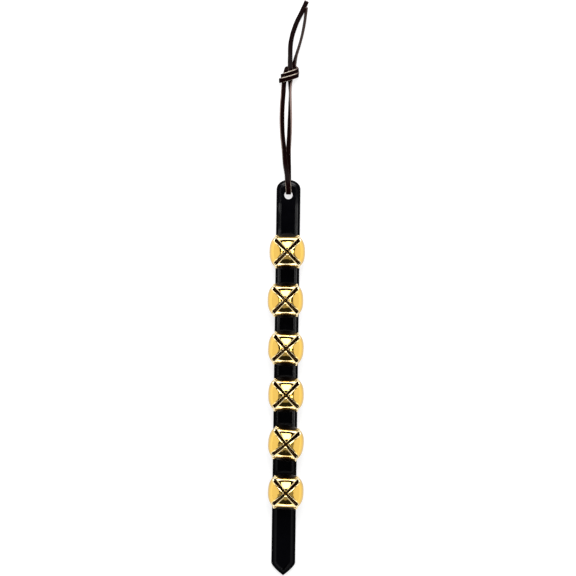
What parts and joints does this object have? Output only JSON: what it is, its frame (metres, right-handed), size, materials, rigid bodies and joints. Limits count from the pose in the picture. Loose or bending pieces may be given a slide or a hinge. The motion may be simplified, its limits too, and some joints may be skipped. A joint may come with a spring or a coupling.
{
  "type": "sleigh bells",
  "caption": "Door-hanger strap of sleigh bells: round brass cross-cut bells with loose pellets, riveted along a pointed black leather strap that hangs from a knotted leather lace.",
  "frame": {"origin": "middle of the strap's flat back: half-way along its length, on its centre line", "axes": "+X across the strap, +Y along the strap towards the lace, +Z out of the strap's front through the bells"},
  "size_m": [0.0406, 0.6082, 0.0362],
  "materials": {
    "strap_leather": "glossy black bridle leather",
    "lace_leather": "dark brown lace leather with pale cut edges",
    "bell_brass": "bright polished",
    "rivet_brass": "plain",
    "pellet_steel": "tumbled"
  },
  "bodies": {
    "strap": {"strap": "strap_leather", "lace_loop": "lace_leather", "lace_knot": "lace_leather", "lace_tail_long": "lace_leather", "lace_tail_short": "lace_leather", "bell_1_rivet": "rivet_brass", "bell_1_burr": "rivet_brass", "bell_2_rivet": "rivet_brass", "bell_2_burr": "rivet_brass", "bell_3_rivet": "rivet_brass", "bell_3_burr": "rivet_brass", "bell_4_rivet": "rivet_brass", "bell_4_burr": "rivet_brass", "bell_5_rivet": "rivet_brass", "bell_5_burr": "rivet_brass", "bell_6_rivet": "rivet_brass", "bell_6_burr": "rivet_brass"},
    "bell_1": {"bell_1_shell": "bell_brass"},
    "pellet_1": {"bell_1_pellet": "pellet_steel"},
    "bell_2": {"bell_2_shell": "bell_brass"},
    "pellet_2": {"bell_2_pellet": "pellet_steel"},
    "bell_3": {"bell_3_shell": "bell_brass"},
    "pellet_3": {"bell_3_pellet": "pellet_steel"},
    "bell_4": {"bell_4_shell": "bell_brass"},
    "pellet_4": {"bell_4_pellet": "pellet_steel"},
    "bell_5": {"bell_5_shell": "bell_brass"},
    "pellet_5": {"bell_5_pellet": "pellet_steel"},
    "bell_6": {"bell_6_shell": "bell_brass"},
    "pellet_6": {"bell_6_pellet": "pellet_steel"}
  },
  "joints": [
    {"name": "bell_1_turn", "type": "hinge", "parent": "strap", "child": "bell_1", "pos_m": [-0.0004, 0.1329, 0.0043], "axis": [0, 0, 1], "continuous": true},
    {"name": "pellet_1_roll", "type": "hinge", "parent": "bell_1", "child": "pellet_1", "pos_m": [-0.0004, 0.1329, 0.01969], "axis": [1, 0, 0], "continuous": true},
    {"name": "bell_2_turn", "type": "hinge", "parent": "strap", "child": "bell_2", "pos_m": [-0.0016, 0.082, 0.0043], "axis": [0, 0, 1], "continuous": true},
    {"name": "pellet_2_roll", "type": "hinge", "parent": "bell_2", "child": "pellet_2", "pos_m": [-0.0016, 0.082, 0.01969], "axis": [1, 0, 0], "continuous": true},
    {"name": "bell_3_turn", "type": "hinge", "parent": "strap", "child": "bell_3", "pos_m": [-0.0004, 0.0315, 0.0043], "axis": [0, 0, 1], "continuous": true},
    {"name": "pellet_3_roll", "type": "hinge", "parent": "bell_3", "child": "pellet_3", "pos_m": [-0.0004, 0.0315, 0.01969], "axis": [1, 0, 0], "continuous": true},
    {"name": "bell_4_turn", "type": "hinge", "parent": "strap", "child": "bell_4", "pos_m": [0.0004, -0.017, 0.0043], "axis": [0, 0, 1], "continuous": true},
    {"name": "pellet_4_roll", "type": "hinge", "parent": "bell_4", "child": "pellet_4", "pos_m": [0.0004, -0.017, 0.01969], "axis": [1, 0, 0], "continuous": true},
    {"name": "bell_5_turn", "type": "hinge", "parent": "strap", "child": "bell_5", "pos_m": [0.0011, -0.0681, 0.0043], "axis": [0, 0, 1], "continuous": true},
    {"name": "pellet_5_roll", "type": "hinge", "parent": "bell_5", "child": "pellet_5", "pos_m": [0.0011, -0.0681, 0.01969], "axis": [1, 0, 0], "continuous": true},
    {"name": "bell_6_turn", "type": "hinge", "parent": "strap", "child": "bell_6", "pos_m": [0.0016, -0.1191, 0.0043], "axis": [0, 0, 1], "continuous": true},
    {"name": "pellet_6_roll", "type": "hinge", "parent": "bell_6", "child": "pellet_6", "pos_m": [0.0016, -0.1191, 0.01969], "axis": [1, 0, 0], "continuous": true}
  ]
}
